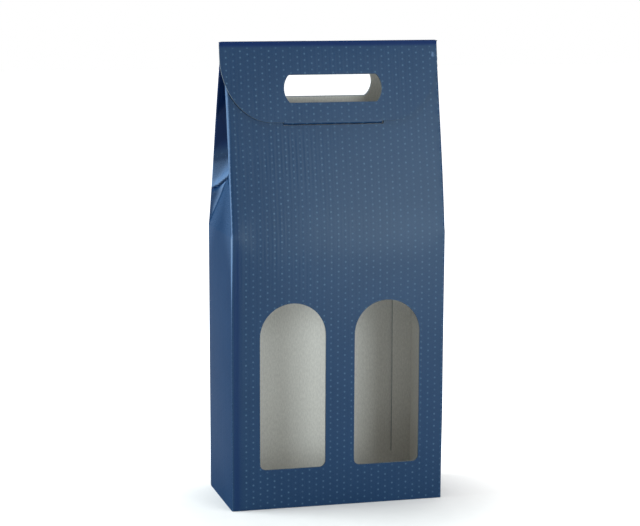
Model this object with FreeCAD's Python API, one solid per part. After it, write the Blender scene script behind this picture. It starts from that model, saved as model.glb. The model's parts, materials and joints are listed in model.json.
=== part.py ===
"""Two-bottle carrier carton of printed micro-flute board, standing closed.

The carton is one folded sheet: four walls, a gable top whose sides fold in as gussets, and a
glued bottom. Its closing flap hangs from the crease at the ridge, lies over the front panel
with the hand hole in line, and tucks a tongue into a slit. Units are millimetres, +Z is up,
the front faces -Y and the origin is the middle of the base.
"""
import FreeCAD
import Part
import math
import os

Vector = FreeCAD.Vector

# Board and body
width = 180.0
depth = 90.0
total_height = 385.0
board = 1.5
shoulder_height = 228.0
fold_radius = 1.5
base_radius = 2.0
front_shoulder_radius = 30.0
back_shoulder_radius = 6.0

# Gable top
ridge_y = -22.5
ply_clearance = 1.55
gusset_reach = 44.0
gusset_rise = 45.0
gusset_dent = 8.5

# Closing flap
flap_clearance = 0.3
crease_clearance = 0.15
flap_overhang = 2.0
flap_side_length = 12.0
flap_curve_width = 42.0
flap_length = 65.2
tongue_width = 85.0
tongue_bend = 0.75
tongue_reach = 4.5

# Hand hole, measured down from the ridge
hand_hole_width = 82.8
hand_hole_height = 24.0
hand_hole_drop = 26.0
hand_hole_end_radius = 17.0
hand_hole_corner = 1.5

# Slit in the front panel
slit_end_clearance = 0.75
slit_top_clearance = 0.45
slit_bottom_clearance = 0.6

# Windows
window_width = 55.5
window_spacing = 82.0
window_sill = 33.5
window_height = 138.75
window_corner = 5.0

# Bottom flaps and glue seam
seam_gap = 0.6
seam_offset = 12.0
seam_slope = 12.0
side_flap_length = 62.0
side_flap_cut = 20.0
side_flap_clearance = 1.0
hook_width = 46.0
hook_length = 30.0
glue_tab_width = 18.0
glue_tab_inset = 6.0
glue_tab_slope = 12.0

# Worked-out places
half_width = width / 2
half_depth = depth / 2
flap_half_width = half_width + flap_overhang
half_board = board / 2
ridge_z = total_height - half_board
rise = ridge_z - shoulder_height
reach_beyond = 20.0


def lean(run, offset):
    """Angle from the vertical of a face through the shoulder that passes offset from the ridge."""
    return math.atan2(run, rise) + math.asin(offset / math.hypot(run, rise))


flap_to_front = half_board + flap_clearance
front_lean = lean(half_depth + ridge_y, flap_to_front)
back_lean = lean(half_depth - ridge_y, -half_board)

# The front panel and the gussets end where the panels just hold the gussets' folded plies.
lost_room = 2 * board * (1 / math.cos(front_lean) + 1 / math.cos(back_lean)) + ply_clearance
front_top = shoulder_height + (depth - lost_room) / (math.tan(front_lean) + math.tan(back_lean))


def front_y(z, inset=0.0):
    """Y of a plane parallel to the leaning front panel, inset from its printed face."""
    return -half_depth + (z - shoulder_height) * math.tan(front_lean) + inset / math.cos(front_lean)


def back_y(z, inset=0.0):
    """Y of a plane parallel to the leaning back panel, inset from its printed face."""
    return half_depth - (z - shoulder_height) * math.tan(back_lean) - inset / math.cos(back_lean)


def polygon(points):
    return Part.Face(Part.makePolygon(points + [points[0]]))


def yz_prism(points, half_length):
    """A prism along X from a section given as (y, z) points."""
    face = polygon([Vector(-half_length, y, z) for y, z in points])
    return face.extrude(Vector(2 * half_length, 0, 0))


def plate(points, low, high):
    """A flat plate from (x, y) points between two heights."""
    face = polygon([Vector(x, y, low) for x, y in points])
    return face.extrude(Vector(0, 0, high - low))


def on_panel(shape, tilt):
    """Puts a shape drawn flat, with its ridge line on the X axis, onto a panel below the ridge."""
    placed = shape.copy()
    turn = FreeCAD.Rotation(Vector(1, 0, 0), 90.0 + math.degrees(tilt))
    placed.Placement = FreeCAD.Placement(Vector(0, ridge_y, ridge_z), turn)
    return placed


def rounded_chain(points, radii):
    """Lines through (y, z) points on the plane X = 0, with an arc of the given radius at each corner."""
    places = [Vector(0, y, z) for y, z in points]
    pieces = []
    here = places[0]
    for before, corner, after, radius in zip(places, places[1:], places[2:], radii):
        back = (before - corner).normalize()
        ahead = (after - corner).normalize()
        half_angle = back.getAngle(ahead) / 2
        reach = radius / math.tan(half_angle)
        inside = (back + ahead).normalize()
        middle = corner + inside * (radius / math.sin(half_angle) - radius)
        pieces.append(Part.LineSegment(here, corner + back * reach))
        pieces.append(Part.Arc(corner + back * reach, middle, corner + ahead * reach))
        here = corner + ahead * reach
    pieces.append(Part.LineSegment(here, places[-1]))
    return [piece.toShape() for piece in pieces]


def outer_folds():
    """Side outline of the carton from the front panel's top edge, under the base, up the back."""
    points = [
        (front_y(front_top), front_top),
        (-half_depth, shoulder_height),
        (-half_depth, 0),
        (half_depth, 0),
        (half_depth, shoulder_height),
        (back_y(front_top), front_top),
    ]
    return rounded_chain(points, [front_shoulder_radius, base_radius, base_radius, back_shoulder_radius])


def outer_prism():
    """The outside of the closed carton up to the front panel's top edge, its side corners sharp."""
    folds = outer_folds()
    top = Part.makeLine(folds[-1].Vertexes[1].Point, folds[0].Vertexes[0].Point)
    face = Part.Face(Part.Wire(folds + [top]))
    face.translate(Vector(-half_width, 0, 0))
    return face.extrude(Vector(width, 0, 0))


def back_strip():
    """The back panel above the front panel's top edge, up to the crease of the closing flap."""
    crease = (ridge_y + half_board * math.cos(back_lean), ridge_z + half_board * math.sin(back_lean))
    section = [
        (back_y(front_top), front_top),
        crease,
        (ridge_y, ridge_z),
        (back_y(ridge_z - board, board), ridge_z - board),
        (back_y(front_top, board), front_top),
    ]
    return yz_prism(section, half_width)


def middle_of(edge):
    return edge.valueAt((edge.FirstParameter + edge.LastParameter) / 2)


def outer_body():
    """The outside of the folded walls, with the board's rounded folds along both sides."""
    body = outer_prism()
    shift = Vector(half_width, 0, 0)
    places = [middle_of(edge) + side * shift for edge in outer_folds() for side in (-1, 1)]
    folds = [e for e in body.Edges if any(middle_of(e).distanceToPoint(p) < board / 10 for p in places)]
    return body.makeFillet(fold_radius, folds)


def inner_space():
    """Everything inside the four walls, from the bottom flaps to the open top between the panels."""
    wall_y = half_depth - board
    front_turn = shoulder_height - board * math.tan(front_lean / 2)
    back_turn = shoulder_height - board * math.tan(back_lean / 2)
    top = front_top + board
    section = [
        (-wall_y, board),
        (wall_y, board),
        (wall_y, back_turn),
        (back_y(top, board), top),
        (front_y(top, board), top),
        (-wall_y, front_turn),
    ]
    return yz_prism(section, half_width - board)


def gusset_folds(side):
    """Corners of one gusset: the shoulder, the meeting of its diagonals and the top of its plies."""
    plies = 2 * board
    wall = side * half_width
    front = Vector(wall, -half_depth, shoulder_height)
    back = Vector(wall, half_depth, shoulder_height)
    meeting = Vector(side * (half_width - gusset_dent), 0, shoulder_height + gusset_rise)
    front_ply = Vector(wall, front_y(front_top, plies), front_top)
    back_ply = Vector(wall, back_y(front_top, plies), front_top)
    middle_y = (front_ply.y + back_ply.y) / 2
    valley = Vector(side * (half_width - gusset_reach), middle_y, front_top)
    return front, back, meeting, front_ply, back_ply, valley


def gusset_facets(side):
    """The printed faces of one folded-in gusset, each as three corners."""
    front, back, meeting, front_ply, back_ply, valley = gusset_folds(side)
    return [
        (front, back, meeting),
        (back, back_ply, meeting),
        (back_ply, valley, meeting),
        (valley, front_ply, meeting),
        (front_ply, front, meeting),
    ]


def gusset_hollow(side):
    """The outside space that one folded-in gusset leaves under the side's plane."""
    front, back, meeting, front_ply, back_ply, valley = gusset_folds(side)
    faces = [polygon(list(corners)) for corners in gusset_facets(side)]
    faces.append(polygon([front, back, back_ply, front_ply]))
    faces.append(polygon([front_ply, back_ply, valley]))
    return Part.makeSolid(Part.makeShell(faces))


def inward(corners, side):
    """The thickness of the board behind a facet, as a vector to the inside of the carton."""
    a, b, c = corners
    normal = (b - a).cross(c - a)
    normal.normalize()
    if normal.x * side > 0:
        normal = normal * -1
    return normal * board


def wedge(a, b, first, second):
    """Closes the board between two facets along the fold from a to b."""
    face = polygon([a, a + first, a + second])
    return face.extrude(b - a)


def gusset_sheet(side):
    """The board of one folded-in gusset."""
    facets = gusset_facets(side)
    meeting = facets[0][2]
    backs = [inward(corners, side) for corners in facets]
    pieces = [polygon(list(corners)).extrude(behind) for corners, behind in zip(facets, backs)]
    spread = sum(backs, Vector(0, 0, 0))
    spread.normalize()
    for here, corners in enumerate(facets):
        before = backs[here - 1]
        after = backs[here]
        if before.getAngle(after) > math.radians(1):
            pieces.append(wedge(meeting, corners[0], before, after))
            pieces.append(tetrahedron(meeting, meeting + before, meeting + after, meeting + spread * board))
    sheet = pieces[0].multiFuse(pieces[1:])
    return sheet.common(outer_prism())


def tetrahedron(a, b, c, d):
    faces = [polygon(corners) for corners in ([a, b, c], [a, b, d], [b, c, d], [c, a, d])]
    return Part.makeSolid(Part.makeShell(faces))


def window_opening(centre_x):
    """An arched window through the front wall, with rounded lower corners."""
    half = window_width / 2
    left = centre_x - half
    right = centre_x + half
    spring = window_sill + window_height - half
    round_in = window_corner * (1 - math.sqrt(0.5))
    y = -half_depth - reach_beyond

    def at(x, z):
        return Vector(x, y, z)

    low = window_sill + window_corner
    outline = [
        Part.LineSegment(at(left, spring), at(left, low)),
        Part.Arc(
            at(left, low),
            at(left + round_in, window_sill + round_in),
            at(left + window_corner, window_sill),
        ),
        Part.LineSegment(at(left + window_corner, window_sill), at(right - window_corner, window_sill)),
        Part.Arc(
            at(right - window_corner, window_sill),
            at(right - round_in, window_sill + round_in),
            at(right, low),
        ),
        Part.LineSegment(at(right, low), at(right, spring)),
        Part.Arc(at(right, spring), at(centre_x, spring + half), at(left, spring)),
    ]
    face = Part.Face(Part.Wire([piece.toShape() for piece in outline]))
    return face.extrude(Vector(0, 2 * reach_beyond, 0))


def hand_hole(low, high):
    """The hand hole, drawn flat below the ridge line: straight long edges and bowed ends."""
    top = -hand_hole_drop
    bottom = top - hand_hole_height
    middle = (top + bottom) / 2
    bow = hand_hole_end_radius - math.sqrt(hand_hole_end_radius**2 - (hand_hole_height / 2) ** 2)
    end = hand_hole_width / 2
    corner = end - bow

    def at(x, y):
        return Vector(x, y, low)

    outline = [
        Part.LineSegment(at(-corner, top), at(corner, top)),
        Part.Arc(at(corner, top), at(end, middle), at(corner, bottom)),
        Part.LineSegment(at(corner, bottom), at(-corner, bottom)),
        Part.Arc(at(-corner, bottom), at(-end, middle), at(-corner, top)),
    ]
    face = Part.Face(Part.Wire([piece.toShape() for piece in outline]))
    prism = face.extrude(Vector(0, 0, high - low))
    upright = [e for e in prism.Edges if abs(e.Vertexes[0].Point.z - e.Vertexes[-1].Point.z) > board / 10]
    return prism.makeFillet(hand_hole_corner, upright)


def tongue_line():
    """Distance below the ridge of the middle of the tongue, once it has turned in."""
    return flap_length + tongue_bend + half_board


def slit():
    """The slit that takes the tongue, through the front panel only."""
    half = tongue_width / 2 + slit_end_clearance
    top = -tongue_line() + half_board + slit_top_clearance
    bottom = -tongue_line() - half_board - slit_bottom_clearance
    outline = [(-half, bottom), (half, bottom), (half, top), (-half, top)]
    return plate(outline, -flap_to_front - board - half_board, -half_board)


def crease_relief():
    """Clears the back panel's top edge from the flap, as a scored crease does."""
    near = half_board + crease_clearance
    low = front_top - ridge_z
    strip = [(-width, low), (width, low), (width, board), (-width, board)]
    relief = plate(strip, -near, reach_beyond)
    bead = Part.makeCylinder(near, 2 * width, Vector(-width, ridge_y, ridge_z), Vector(1, 0, 0))
    return on_panel(relief, -front_lean).fuse(bead)


def bottom_seam():
    """The cut line between the front and back bottom flaps, which hook past each other."""
    half_gap = seam_gap / 2
    end = half_width - board
    path = [(-end, seam_offset), (-seam_slope, seam_offset), (seam_slope, -seam_offset), (end, -seam_offset)]
    upper = [(x, y + half_gap) for x, y in path]
    lower = [(x, y - half_gap) for x, y in reversed(path)]
    return plate(upper + lower, -board, board)


def side_bottom_flap(side):
    """A side wall's bottom flap, lying inside on the front and back flaps."""
    wall = side * (half_width - board)
    tip = side * (half_width - side_flap_length)
    half = half_depth - board
    inner = half - side_flap_cut
    cut_start = side * (half_width - board - side_flap_cut)
    near = [(wall, -half), (cut_start, -half), (tip, -inner)]
    outline = near + [(x, -y) for x, y in reversed(near)]
    return plate(outline, board, 2 * board)


def bottom_hook():
    """The back flap's hook, which reaches over the seam onto the front flap."""
    room = half_width - side_flap_length - side_flap_clearance
    half = min(hook_width / 2, room)
    back = seam_offset
    front = back - hook_length
    slope = half / 2
    left = [(-half, back), (-half, front + slope), (-slope, front)]
    outline = left + [(-x, y) for x, y in reversed(left)]
    return plate(outline, board, 2 * board)


def glue_tab():
    """The glued tab that closes the tube, inside the back wall at its right end."""
    wall_x = half_width - board
    wall_y = half_depth - board
    low = 2 * board + glue_tab_inset
    high = shoulder_height - glue_tab_inset
    outline = [
        (wall_x, low),
        (wall_x - glue_tab_width, low + glue_tab_slope),
        (wall_x - glue_tab_width, high - glue_tab_slope),
        (wall_x, high),
    ]
    face = polygon([Vector(x, wall_y - board, z) for x, z in outline])
    return face.extrude(Vector(0, board, 0))


def carton():
    """The folded and glued sheet."""
    shape = outer_body().cut(inner_space())
    for side in (-1, 1):
        shape = shape.cut(gusset_hollow(side)).fuse(gusset_sheet(side))
    shape = shape.fuse(back_strip())
    cuts = [crease_relief(), bottom_seam()]
    cuts += [window_opening(-window_spacing / 2), window_opening(window_spacing / 2)]
    in_front = hand_hole(-flap_to_front - board - half_board, -half_board)
    in_back = hand_hole(-board, board)
    cuts += [on_panel(in_front, -front_lean), on_panel(in_back, back_lean), on_panel(slit(), -front_lean)]
    for tool in cuts:
        shape = shape.cut(tool)
    for piece in (side_bottom_flap(-1), side_bottom_flap(1), bottom_hook(), glue_tab()):
        shape = shape.fuse(piece)
    return shape.removeSplitter()


def flap_outline():
    """The flap's face, drawn flat: straight sides, quarter-ellipse corners and a straight edge."""
    low = -half_board
    centre_x = flap_half_width - flap_curve_width
    curve_height = flap_length - flap_side_length
    side_end = Vector(flap_half_width, -flap_side_length, low)
    foot = Vector(centre_x, -flap_length, low)

    def quarter(side):
        centre = Vector(side * centre_x, -flap_side_length, low)
        start = Vector(side * side_end.x, side_end.y, low)
        finish = Vector(side * foot.x, foot.y, low)
        if curve_height >= flap_curve_width:
            curve = Part.Ellipse(finish, start, centre)
        else:
            curve = Part.Ellipse(start, finish, centre)
        angle_a = curve.parameter(start)
        angle_b = curve.parameter(finish)
        span = (angle_b - angle_a) % (2 * math.pi)
        if span > math.pi:
            return Part.Edge(curve, angle_b, angle_b + 2 * math.pi - span)
        return Part.Edge(curve, angle_a, angle_a + span)

    corners = [Vector(-flap_half_width, 0, low), Vector(flap_half_width, 0, low)]
    left_end = Vector(-side_end.x, side_end.y, low)
    left_foot = Vector(-foot.x, foot.y, low)
    edges = [
        Part.makeLine(corners[0], corners[1]),
        Part.makeLine(corners[1], side_end),
        quarter(1),
        Part.makeLine(foot, left_foot),
        quarter(-1),
        Part.makeLine(left_end, corners[0]),
    ]
    return Part.Face(Part.Wire(Part.__sortEdges__(edges)))


def tongue():
    """The tongue: a bend at the flap's foot and a short run in through the slit."""
    half = tongue_width / 2
    inner = tongue_bend
    outer = tongue_bend + board
    start = -flap_length
    pivot_z = -half_board - inner

    def at(y, z):
        return Vector(-half, y, z)

    tip = -half_board - tongue_reach
    diagonal = math.sqrt(0.5)
    outline = [
        Part.LineSegment(at(start, half_board), at(start, -half_board)),
        Part.Arc(
            at(start, -half_board),
            at(start - inner * diagonal, pivot_z + inner * diagonal),
            at(start - inner, pivot_z),
        ),
        Part.LineSegment(at(start - inner, pivot_z), at(start - inner, tip)),
        Part.LineSegment(at(start - inner, tip), at(start - outer, tip)),
        Part.LineSegment(at(start - outer, tip), at(start - outer, pivot_z)),
        Part.Arc(
            at(start - outer, pivot_z),
            at(start - outer * diagonal, pivot_z + outer * diagonal),
            at(start, half_board),
        ),
    ]
    face = Part.Face(Part.Wire([piece.toShape() for piece in outline]))
    return face.extrude(Vector(tongue_width, 0, 0))


def closing_flap():
    """The flap that hangs from the ridge, with the hand hole and the tongue."""
    sheet = flap_outline().extrude(Vector(0, 0, board))
    bead_start = Vector(-flap_half_width, 0, 0)
    bead = Part.makeCylinder(half_board, 2 * flap_half_width, bead_start, Vector(1, 0, 0))
    shape = sheet.fuse(bead).fuse(tongue()).cut(hand_hole(-board, board))
    return on_panel(shape.removeSplitter(), -front_lean)


def report(name, shape):
    box = shape.BoundBox
    print(
        f"{name}: valid {shape.isValid()}, solids {len(shape.Solids)}, volume {shape.Volume:.1f},"
        f" x {box.XMin:.2f} {box.XMax:.2f}, y {box.YMin:.2f} {box.YMax:.2f}, z {box.ZMin:.2f} {box.ZMax:.2f}"
    )


def main():
    os.makedirs("parts", exist_ok=True)
    nodes = {"carton": carton(), "closing_flap": closing_flap()}
    for name, shape in nodes.items():
        shape = shape.copy()
        report(name, shape)
        shape.exportStep(f"parts/{name}.step")


main()
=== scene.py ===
"""Two-bottle carrier carton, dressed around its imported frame.

The carton is one sheet of micro-flute board, printed outside and plain inside. It is drawn here as
its flat blank, in metres, and then folded: each crease is a line on the blank, the folded places of
its corners come from the frame, and the sheet between them bends with a small radius.
"""
import json
import math

import bpy
import numpy as np
from bpy.props import FloatProperty, FloatVectorProperty, PointerProperty
from mathutils import Euler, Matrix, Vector, geometry


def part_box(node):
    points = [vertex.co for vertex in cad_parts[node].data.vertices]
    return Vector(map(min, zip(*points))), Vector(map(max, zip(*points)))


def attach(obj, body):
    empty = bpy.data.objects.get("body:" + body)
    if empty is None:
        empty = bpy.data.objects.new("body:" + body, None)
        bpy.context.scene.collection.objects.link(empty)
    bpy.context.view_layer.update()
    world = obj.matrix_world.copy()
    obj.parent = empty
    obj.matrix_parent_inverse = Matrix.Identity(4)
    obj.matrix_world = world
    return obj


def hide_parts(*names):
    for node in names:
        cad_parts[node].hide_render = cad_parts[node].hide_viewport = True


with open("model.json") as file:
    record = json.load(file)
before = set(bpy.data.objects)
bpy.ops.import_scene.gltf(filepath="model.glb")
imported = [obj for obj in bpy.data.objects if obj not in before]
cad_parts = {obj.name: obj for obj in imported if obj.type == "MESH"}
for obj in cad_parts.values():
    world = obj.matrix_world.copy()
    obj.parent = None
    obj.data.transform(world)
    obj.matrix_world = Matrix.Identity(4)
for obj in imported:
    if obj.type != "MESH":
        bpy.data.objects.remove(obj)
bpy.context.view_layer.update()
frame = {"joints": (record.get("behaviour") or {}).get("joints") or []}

bl_info = {
    "name": "Two-bottle carrier carton",
    "version": (1, 0, 0),
    "blender": (4, 5, 0),
    "location": "3D View > Sidebar > Carton",
    "description": "Folds a printed two-bottle carrier carton with its closing flap",
    "category": "Object",
}

CARTON_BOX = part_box("carton")
HINGE = Vector(frame["joints"][0]["pos_m"])
SHARP_ANGLE = math.radians(38)

# Stations up a gusset: share of the plies' edges, share of the valley, and how far the valley sags
GUSSET_STATIONS = ((0.45, 0.28, 0.003), (0.66, 0.5, 0.009), (1.0, 1.0, 0.0))

# Rubbed folds of the walls: how rubbed, and the half width
FOLD_WEAR = {
    "front": (0.45, 0.0018),
    "right": (0.45, 0.0016),
    "left": (0.4, 0.0014),
    "tab": (0.3, 0.0014),
}


# Settings


def length(name, description, default):
    return FloatProperty(name=name, description=description, default=default, unit="LENGTH", precision=5)


def amount(name, description, default):
    return FloatProperty(name=name, description=description, default=default, precision=4)


def angle(name, description, degrees):
    default = math.radians(degrees)
    return FloatProperty(name=name, description=description, default=default, unit="ROTATION")


def position(name, description, default):
    return FloatVectorProperty(
        name=name, description=description, default=default, subtype="XYZ", unit="LENGTH"
    )


def colour(name, description, default):
    return FloatVectorProperty(
        name=name, description=description, default=default, subtype="COLOR", min=0, max=1
    )


class CartonSizes(bpy.types.PropertyGroup):
    """Sizes of the folded sheet"""

    width: length("Width", "Outside width of the walls", 2 * CARTON_BOX[1].x)
    depth: length("Depth", "Outside depth of the walls", 2 * round(CARTON_BOX[1].y, 4))
    board: length("Board", "Thickness of the board", 0.0015)
    fold_radius: length("Fold radius", "How far a crease spreads on each side", 0.001)
    shoulder_height: length("Shoulder height", "Height where the gable top begins", 0.228)
    shoulder_spread: length("Shoulder spread", "How far the front's soft shoulder spreads", 0.022)
    shoulder_fade: length("Shoulder fade", "Where the soft shoulder ends beside the side folds", 0.02)
    shoulder_room: length("Shoulder room", "How far above and below the shoulder is soft", 0.05)
    front_drop: length("Front drop", "Front panel's top edge below the ridge", 0.014)
    gusset_reach: length("Gusset reach", "How far the gusset's plies reach in at their top", 0.044)
    gusset_rise: length("Gusset rise", "Height of the diagonals' meeting above the shoulder", 0.045)
    wrinkle_share: amount("Wrinkle share", "Where the wrinkle meets the back ply's edge", 0.225)
    soft_bend: length("Soft bend", "How far the gusset's uncreased bends spread", 0.007)
    soft_from: amount("Soft from", "Where the soft bends begin, of the gusset's rise", 0.8)
    soft_share: amount("Soft share", "A soft bend's spread, of its distance to a crease", 0.85)
    gusset_dent: length("Gusset dent", "How far the diagonals' meeting is pushed in", 0.0085)
    sway: length("Sway", "How far the back panel's top leans to the left", 0.00235)
    flap_sway: length("Flap sway", "How far the closing flap sits to the left", 0.0019)
    bulge: length("Bulge", "How far the front is pushed to the right near the shoulder", 0.00095)
    bulge_height: length("Bulge height", "Height where the front is pushed furthest", 0.262)
    bulge_reach: length("Bulge reach", "How far above and below the push fades", 0.1)
    spread: length("Spread", "How far the right side stands out at mid height", 0.0013)
    spread_base: amount("Spread at the base", "Share of the spread at the base", 0.3)
    spread_rise: length("Spread rise", "Height where the spread is full", 0.09)
    spread_end: length("Spread end", "Height where the spread begins to go back", 0.24)
    spread_fade: length("Spread fade", "How far above that it goes back", 0.1)
    spread_loss: amount("Spread loss", "Share of the spread that is gone at the top", 0.55)
    belly: length("Belly", "How far the front's middle is bowed outwards", 0.0021)
    back_belly: amount("Back belly", "The back wall's bow, of the front's", 0.5)
    side_belly: amount("Side belly", "A side wall's bow, of the front's", 0.3)
    glue_tab: length("Glue tab", "Width of the tab glued inside the back wall", 0.018)
    mesh_step: length("Mesh step", "Distance between the mesh's points on flat board", 0.005)
    gusset_step: length("Gusset step", "Distance between the mesh's points in the gussets", 0.0015)


class WearAndPaintedLightSizes(bpy.types.PropertyGroup):
    """The left gusset's wrinkle, where the ink is rubbed, and where highlight and shade are painted into
    the print
    """

    wrinkle_depth: length("Wrinkle depth", "Depth of the wrinkle in the back ply", 0.0018)
    groove_width: length("Groove width", "Half width of the wrinkle's groove", 0.0011)
    elbow_share: amount("Elbow share", "Place of the wrinkle's elbow along it", 0.4)
    elbow_drop: length("Elbow drop", "How far the elbow lies below a straight line", 0.0025)
    lift_share: amount("Lift share", "Height of the board beside the groove, of its depth", 0.45)
    lift_distance: length("Lift distance", "Distance from the groove to the lifted board", 0.005)
    lift_width: length("Lift width", "Half width of the lifted board", 0.003)
    # Painted highlight: paler ink just above the wrinkle, fading higher up.
    painted_highlight: amount("Pale wear", "How rubbed the ink is just above the wrinkle", 0.7)
    pale_loss: amount("Pale loss", "How much less rubbed it is at the pale patch's top", 0.28)
    pale_height: length("Pale height", "Height of the pale patch above the wrinkle", 0.026)
    pale_end: length("Pale end", "Height where the pale patch is gone", 0.036)
    # Painted shade: darker ink above the pale patch and in the wrinkle's groove.
    top_painted_shade: amount("Top ink", "How thick the ink lies above the pale patch", 0.7)
    groove_painted_shade: length("Groove ink", "Half width of the thick ink in the groove", 0.0009)
    soft_edge: length("Soft edge", "How far a patch's edge fades", 0.0015)
    # Painted highlight over the back diagonal, and painted shade at its foot.
    diagonal_highlight: amount("Diagonal wear", "How rubbed the ink is over the diagonal's foot", 0.52)
    diagonal_gain: amount("Diagonal gain", "How much more it is rubbed at the diagonal's top", 0.4)
    diagonal_reach: length("Diagonal reach", "How far over the diagonal the ink is rubbed", 0.02)
    corner_painted_shade: amount("Corner ink", "How thick the ink lies at the diagonal's foot", 0.6)
    corner_width: length("Corner width", "Half width of that thick ink", 0.004)
    # Painted highlight on the facet below the diagonals.
    facet_highlight: amount("Facet wear", "How rubbed the ink is below the diagonals", 0.39)
    facet_reach: amount("Facet reach", "How far down that goes, of the diagonals' rise", 2.2)
    # Painted shade: two darker bands of ink beside the front left fold.
    band_painted_shade: amount("Band ink", "How thick the ink lies beside the front left fold", 0.95)
    band_place: length("Band place", "Distance of that ink from the fold", 0.0032)
    band_width: length("Band width", "Half width of that ink", 0.0016)
    wide_painted_shade: amount("Wide ink", "How thick the ink lies on the wide band beside it", 0.27)
    wide_place: length("Wide place", "Distance of the wide band from the fold", 0.006)
    wide_width: length("Wide width", "Half width of the wide band", 0.004)
    base_wear: amount("Base wear", "How rubbed the ink is at the base's folds", 0.5)
    base_width: length("Base width", "Half width of the rubbed base", 0.0012)


class OpeningSizes(bpy.types.PropertyGroup):
    """Sizes of the windows, the hand hole and the slit"""

    window_width: length("Window width", "Width of one window", 0.0555)
    window_spacing: length("Window spacing", "Distance between the windows' middles", 0.0801)
    window_shift: length("Window shift", "How far right of the front's middle the windows sit", 0.0015)
    window_sill: length("Window sill", "Height of the windows' lower edge", 0.0335)
    window_height: length("Window height", "Height of one window", 0.13875)
    window_corner: length("Window corner", "Radius of the windows' lower corners", 0.005)
    hole_width: length("Hole width", "Width of the hand hole", 0.0828)
    hole_height: length("Hole height", "Height of the hand hole", 0.0228)
    hole_drop: length("Hole drop", "Hand hole's upper edge below the ridge", 0.0268)
    hole_end_radius: length("Hole end radius", "Radius of the hand hole's bowed ends", 0.017)
    hole_corner: length("Hole corner", "Radius of the hand hole's corners", 0.0025)
    flap_hole_shift: length("Flap hole shift", "How far right of the flap's middle its hole is", 0.0018)
    back_hole_shift: length("Back hole shift", "How far left of the back's middle its hole is", 0.0012)
    slit_play: length("Slit play", "Room at each end of the slit", 0.00075)
    slit_above: length("Slit above", "Room above the tongue in the slit", 0.00045)
    slit_below: length("Slit below", "Room below the tongue in the slit", 0.0006)


class BottomSizes(bpy.types.PropertyGroup):
    """Sizes of the bottom and of the glued tab"""

    seam_offset: length("Seam offset", "How far the bottom seam lies off the middle", 0.012)
    seam_slope: length("Seam slope", "Half the run of the seam's slope in the middle", 0.012)
    seam_gap: length("Seam gap", "Gap between the front and back bottom flaps", 0.0006)
    side_room: length("Side room", "Room between a bottom flap and the side wall", 0.0018)
    side_length: length("Side length", "How far a side wall's bottom flap reaches in", 0.062)
    side_cut: length("Side cut", "Size of the cut corners of a side wall's bottom flap", 0.02)
    hook_width: length("Hook width", "Width of the back flap's hook", 0.046)
    hook_length: length("Hook length", "Length of the back flap's hook", 0.03)
    tab_inset: length("Tab inset", "Glued tab's ends inside the wall's height", 0.009)
    tab_slope: length("Tab slope", "Slope of the glued tab's ends", 0.012)


class FlapSizes(bpy.types.PropertyGroup):
    """Sizes of the closing flap"""

    overhang: length("Overhang", "How far the flap stands past the panel on each side", 0.002)
    clearance: length("Clearance", "Gap between the flap and the front panel", 0.0003)
    side_length: length("Side length", "Straight part of the flap's side edges", 0.012)
    curve_width: length("Curve width", "Width of the curve at each lower corner", 0.042)
    length: length("Length", "Flap's foot below the ridge", 0.0655)
    tongue_width: length("Tongue width", "Width of the tongue", 0.0833)
    tongue_shift: length("Tongue shift", "How far right of the flap's middle the tongue sits", 0.001)
    tongue_bend: length("Tongue bend", "Inside radius of the tongue's bend", 0.0002)
    tongue_reach: length("Tongue reach", "How far the tongue reaches in", 0.0045)
    tongue_corner: length("Tongue corner", "Radius of the tongue's corners", 0.002)
    scuff_across: length("Scuff across", "How far right of the middle the small scuff sits", 0.089)
    scuff_below: length("Scuff below", "How far below the crease the small scuff sits", 0.0115)
    scuff_width: length("Scuff width", "Half width of the scuff", 0.0011)
    scuff_height: length("Scuff height", "Half height of the scuff", 0.0022)
    scuff_wear: amount("Scuff wear", "How rubbed the scuff is", 2.0)
    # Painted shade: a darker band of ink just below the crease.
    band_painted_shade: amount("Band ink", "How thick the ink lies below the crease", 0.9)
    band_place: length("Band place", "Distance of that ink below the crease", 0.0014)
    band_width: length("Band width", "Half width of that ink", 0.0026)
    lift: length("Lift", "How far the flap's lower corners stand off the panel", 0.0007)
    lift_from: amount("Lift from", "Where the flap begins to stand off, of its half width", 0.35)


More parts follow.
